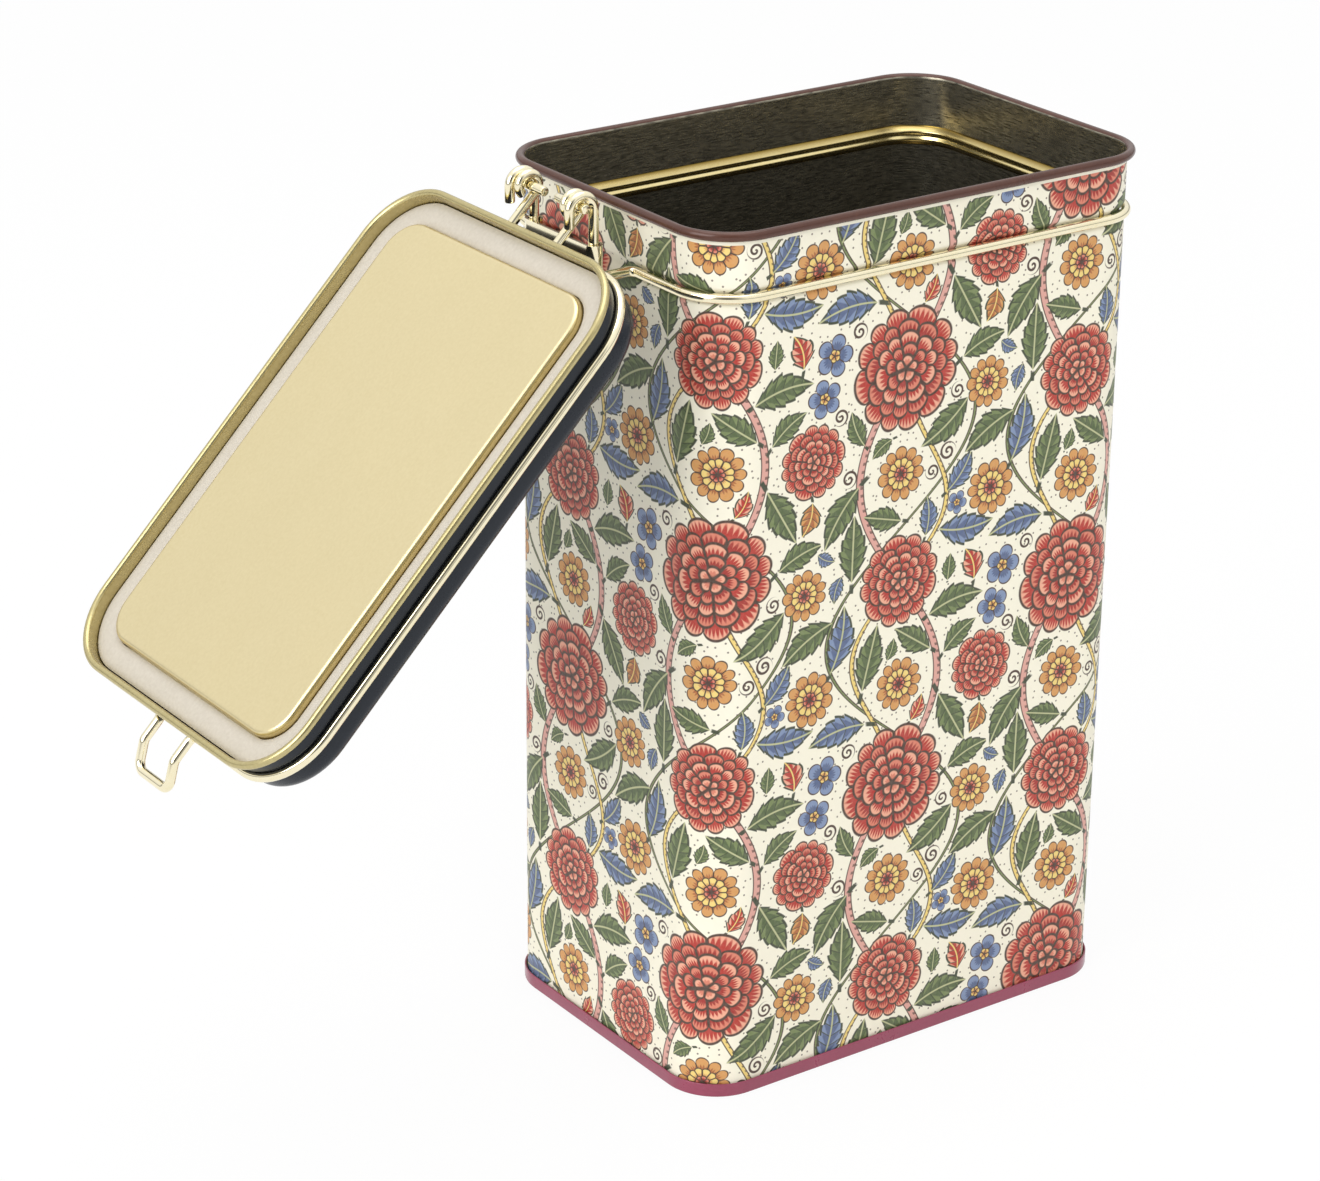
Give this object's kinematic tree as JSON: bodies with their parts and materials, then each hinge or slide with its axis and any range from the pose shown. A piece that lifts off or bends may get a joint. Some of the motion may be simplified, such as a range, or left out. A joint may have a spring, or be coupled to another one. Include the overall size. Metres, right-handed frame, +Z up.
{
  "type": "clip-top tin box",
  "caption": "Tall rectangular tin box with rounded corners and a wire-hinged clip-top lid, shown open, with a gasket and a wire lever latch.",
  "frame": {"origin": "centre of the base panel's underside; the seam's foot stands 1.5 mm below it", "axes": "+Z up out of the mouth, +X along the box's long side towards the latch, with the lid's hinge at -X; +Y across the short side"},
  "size_m": [0.2332, 0.0816, 0.1947],
  "materials": {
    "printed_tin": "printed and varnished tinplate, cream ground with a multicoloured floral print, gold lacquer inside",
    "seam_paint": "maroon lacquered tinplate",
    "dark_lacquer": "satin navy-black lacquer outside, gold lacquer inside",
    "gold_lacquer": "satin gold-lacquered tinplate",
    "seal_rubber": "matt off-white sealing rubber",
    "brass_wire": "polished pale brass-plated steel wire"
  },
  "bodies": {
    "tin": {"body_wall": "printed_tin", "base_panel": "seam_paint", "body_wire": "brass_wire", "hinge_clip": "brass_wire"},
    "lid": {"lid_shell": "dark_lacquer", "lid_inner_plate": "gold_lacquer", "lid_gasket": "seal_rubber", "lid_wire": "brass_wire", "hinge_pin_left": "brass_wire", "hinge_pin_right": "brass_wire"},
    "lever": {"latch_lever": "brass_wire"},
    "link": {"latch_link": "brass_wire"}
  },
  "joints": [
    {"name": "lid_hinge", "type": "hinge", "parent": "tin", "child": "lid", "pos_m": [-0.0681, 0, 0.18985], "axis": [0, 1, 0], "range_deg": [0, 225.5]},
    {"name": "lever_pivot", "type": "hinge", "parent": "tin", "child": "lever", "pos_m": [0.0615, 0, 0.1749], "axis": [0, -1, 0], "range_deg": [0, 165]},
    {"name": "link_pivot", "type": "hinge", "parent": "lever", "child": "link", "pos_m": [0.0594, 0, 0.1679], "axis": [0, -1, 0], "range_deg": [0, 176.9]}
  ]
}
